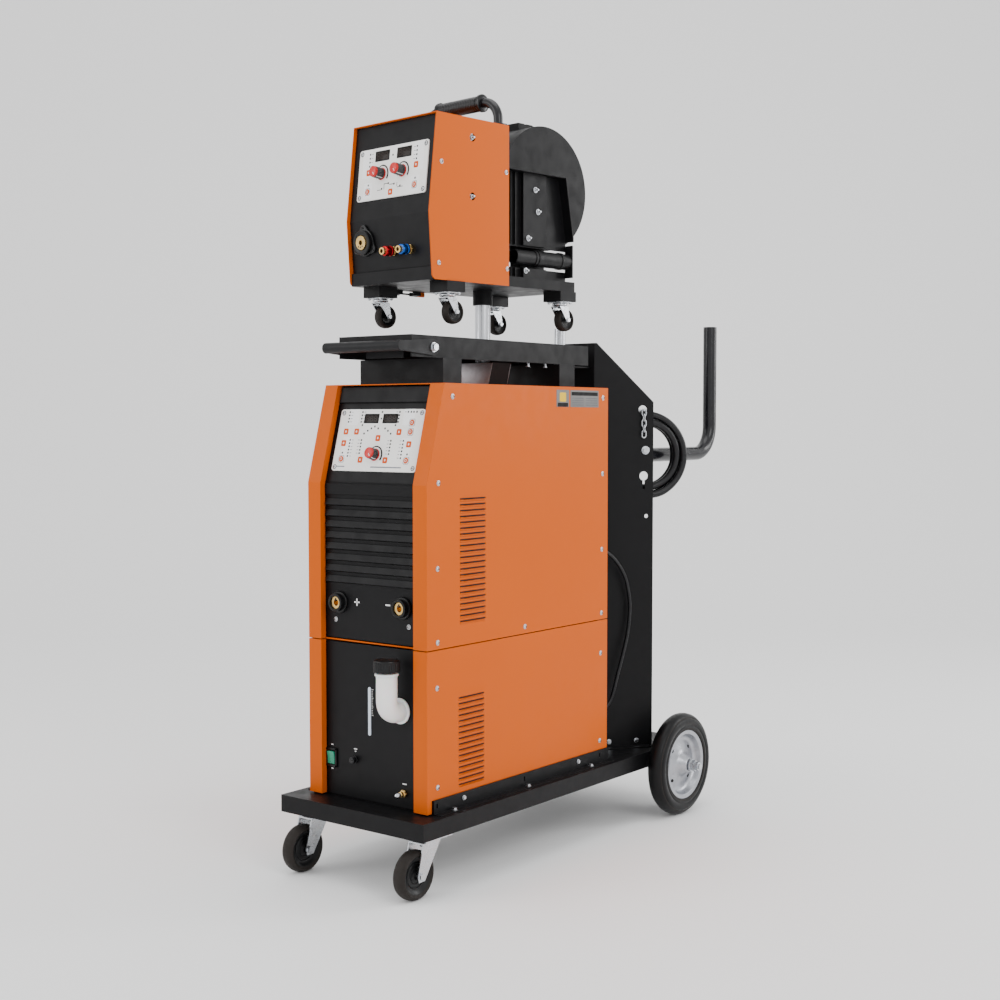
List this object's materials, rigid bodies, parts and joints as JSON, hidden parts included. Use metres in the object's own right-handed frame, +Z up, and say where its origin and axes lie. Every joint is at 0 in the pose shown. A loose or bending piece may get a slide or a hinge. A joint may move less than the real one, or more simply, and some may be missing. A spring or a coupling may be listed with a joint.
{
  "type": "mig welder on cart",
  "caption": "Wheeled MIG welding station: power source on a water cooler, cart with bottle bay, and a separate wire feeder on a swivel post.",
  "frame": {"origin": "middle of the machine's footprint, on the floor", "axes": "+Z up, -Y is the front of the machine, +X its right-hand side seen from the front"},
  "size_m": [0.58, 1.254, 1.652],
  "materials": {
    "black_powder": "fine-texture black powder coat",
    "orange_powder": "fine-texture orange powder coat",
    "zinc": "bright zinc plate",
    "brass": "turned brass and black moulding",
    "white_panel": "printed membrane film",
    "black_plastic": "moulded black plastic",
    "knob_red": "red and black moulded knob",
    "tank_plastic": "translucent white polyethylene",
    "switch_green": "green translucent rocker",
    "cable_rubber": "black rubber sheath",
    "tyre_rubber": "solid black rubber with taupe seam lines",
    "caster_tread": "grey-brown tread on a black core",
    "inner_parts": "mixed inner parts",
    "spool_plastic": "spool of bright wire"
  },
  "bodies": {
    "cart": {"cart_deck": "black_powder", "rear_column": "black_powder", "top_platform": "black_powder", "platform_supports": "black_powder", "front_handle": "black_powder", "posts": "zinc", "cable_hook": "black_powder", "bottle_chain": "zinc", "rear_axle": "zinc", "caster_plates": "zinc", "frame_bolts": "zinc", "power_shell": "orange_powder", "power_front": "black_powder", "control_panel": "white_panel", "output_sockets": "brass", "power_rear": "black_powder", "cooler_shell": "orange_powder", "cooler_front": "black_powder", "filler_neck": "tank_plastic", "cooler_fittings": "brass", "inner_modules": "inner_parts", "mains_cable": "cable_rubber", "mains_coil": "cable_rubber", "mains_plug": "cable_rubber", "cooler_lead": "cable_rubber"},
    "feeder": {"feeder_chassis": "black_powder", "feeder_front": "black_powder", "feeder_cover": "orange_powder", "drum_housing": "black_plastic", "feeder_handle": "black_plastic", "feeder_panel": "white_panel", "euro_socket": "brass", "water_couplings": "brass", "hose_boot": "black_plastic", "wire_drive": "inner_parts"},
    "main_knob": {"main_knob": "knob_red"},
    "filler_cap": {"filler_cap": "black_plastic"},
    "cooler_switch": {"cooler_switch": "switch_green"},
    "breaker_lever": {"breaker_lever": "knob_red"},
    "caster_fork_left": {"caster_fork_left": "zinc"},
    "caster_fork_right": {"caster_fork_right": "zinc"},
    "caster_wheel_left": {"caster_wheel_left": "caster_tread"},
    "caster_wheel_right": {"caster_wheel_right": "caster_tread"},
    "rear_wheel_left": {"rear_rim_left": "zinc", "rear_tyre_left": "tyre_rubber"},
    "rear_wheel_right": {"rear_rim_right": "zinc", "rear_tyre_right": "tyre_rubber"},
    "feeder_door": {"feeder_door": "orange_powder"},
    "drum_cover": {"drum_cover": "black_plastic"},
    "wire_spool": {"wire_spool": "spool_plastic"},
    "feeder_knob_left": {"feeder_knob_left": "knob_red"},
    "feeder_knob_right": {"feeder_knob_right": "knob_red"},
    "small_fork_fl": {"small_fork_fl": "zinc"},
    "small_wheel_fl": {"small_wheel_fl": "caster_tread"},
    "small_fork_fr": {"small_fork_fr": "zinc"},
    "small_wheel_fr": {"small_wheel_fr": "caster_tread"},
    "small_fork_rl": {"small_fork_rl": "zinc"},
    "small_wheel_rl": {"small_wheel_rl": "caster_tread"},
    "small_fork_rr": {"small_fork_rr": "zinc"},
    "small_wheel_rr": {"small_wheel_rr": "caster_tread"}
  },
  "joints": [
    {"name": "feeder_swivel", "type": "hinge", "parent": "cart", "child": "feeder", "pos_m": [0, -0.16, 1.239], "axis": [0, 0, 1], "range_deg": [-120, 120]},
    {"name": "caster_swivel_left", "type": "hinge", "parent": "cart", "child": "caster_fork_left", "pos_m": [-0.155, -0.543, 0.113], "axis": [0, 0, 1], "continuous": true},
    {"name": "caster_roll_left", "type": "hinge", "parent": "caster_fork_left", "child": "caster_wheel_left", "pos_m": [-0.155, -0.577, 0.05], "axis": [1, 0, 0], "continuous": true},
    {"name": "rear_roll_left", "type": "hinge", "parent": "cart", "child": "rear_wheel_left", "pos_m": [-0.23, 0.315, 0.122], "axis": [1, 0, 0], "continuous": true},
    {"name": "caster_swivel_right", "type": "hinge", "parent": "cart", "child": "caster_fork_right", "pos_m": [0.155, -0.543, 0.113], "axis": [0, 0, 1], "continuous": true},
    {"name": "caster_roll_right", "type": "hinge", "parent": "caster_fork_right", "child": "caster_wheel_right", "pos_m": [0.155, -0.577, 0.05], "axis": [1, 0, 0], "continuous": true},
    {"name": "rear_roll_right", "type": "hinge", "parent": "cart", "child": "rear_wheel_right", "pos_m": [0.23, 0.315, 0.122], "axis": [1, 0, 0], "continuous": true},
    {"name": "main_knob_turn", "type": "hinge", "parent": "cart", "child": "main_knob", "pos_m": [0, -0.51628, 0.88071], "axis": [0, -0.9655, 0.2603], "continuous": true},
    {"name": "filler_cap_turn", "type": "hinge", "parent": "cart", "child": "filler_cap", "pos_m": [0.08, -0.571, 0.448], "axis": [0, 0, 1], "range_deg": [0, 360]},
    {"name": "cooler_switch_rock", "type": "hinge", "parent": "cart", "child": "cooler_switch", "pos_m": [-0.113, -0.53, 0.241], "axis": [1, 0, 0], "range_deg": [-12, 0]},
    {"name": "breaker_turn", "type": "hinge", "parent": "cart", "child": "breaker_lever", "pos_m": [-0.09, 0.098, 0.93], "axis": [0, 1, 0], "range_deg": [0, 90]},
    {"name": "feeder_door_swing", "type": "hinge", "parent": "feeder", "child": "feeder_door", "pos_m": [-0.14905, -0.30978, 1.2335], "axis": [0.108, 0.9942, 0], "range_deg": [-92, 0]},
    {"name": "drum_cover_swing", "type": "hinge", "parent": "feeder", "child": "drum_cover", "pos_m": [0.02592, 0.0786, 1.465], "axis": [0, 0, 1], "range_deg": [-110, 0]},
    {"name": "wire_spool_spin", "type": "hinge", "parent": "feeder", "child": "wire_spool", "pos_m": [-0.0283, -0.05935, 1.465], "axis": [0.9942, -0.108, 0], "continuous": true},
    {"name": "feeder_knob_left_turn", "type": "hinge", "parent": "feeder", "child": "feeder_knob_left", "pos_m": [-0.06096, -0.42487, 1.46934], "axis": [-0.1074, -0.9884, 0.1077], "range_deg": [-150, 150]},
    {"name": "feeder_knob_right_turn", "type": "hinge", "parent": "feeder", "child": "feeder_knob_right", "pos_m": [0.00266, -0.43178, 1.46934], "axis": [-0.1074, -0.9884, 0.1077], "range_deg": [-150, 150]},
    {"name": "small_swivel_fl", "type": "hinge", "parent": "feeder", "child": "small_fork_fl", "pos_m": [-0.12707, -0.35743, 1.207], "axis": [0, 0, 1], "continuous": true},
    {"name": "small_roll_fl", "type": "hinge", "parent": "small_fork_fl", "child": "small_wheel_fl", "pos_m": [-0.12555, -0.34351, 1.177], "axis": [0.9942, -0.108, 0], "continuous": true},
    {"name": "small_swivel_fr", "type": "hinge", "parent": "feeder", "child": "small_fork_fr", "pos_m": [0.08171, -0.38011, 1.207], "axis": [0, 0, 1], "continuous": true},
    {"name": "small_roll_fr", "type": "hinge", "parent": "small_fork_fr", "child": "small_wheel_fr", "pos_m": [0.08322, -0.36619, 1.177], "axis": [0.9942, -0.108, 0], "continuous": true},
    {"name": "small_swivel_rl", "type": "hinge", "parent": "feeder", "child": "small_fork_rl", "pos_m": [-0.08927, -0.00948, 1.207], "axis": [0, 0, 1], "continuous": true},
    {"name": "small_roll_rl", "type": "hinge", "parent": "small_fork_rl", "child": "small_wheel_rl", "pos_m": [-0.08775, 0.00444, 1.177], "axis": [0.9942, -0.108, 0], "continuous": true},
    {"name": "small_swivel_rr", "type": "hinge", "parent": "feeder", "child": "small_fork_rr", "pos_m": [0.11951, -0.03216, 1.207], "axis": [0, 0, 1], "continuous": true},
    {"name": "small_roll_rr", "type": "hinge", "parent": "small_fork_rr", "child": "small_wheel_rr", "pos_m": [0.12102, -0.01824, 1.177], "axis": [0.9942, -0.108, 0], "continuous": true}
  ]
}
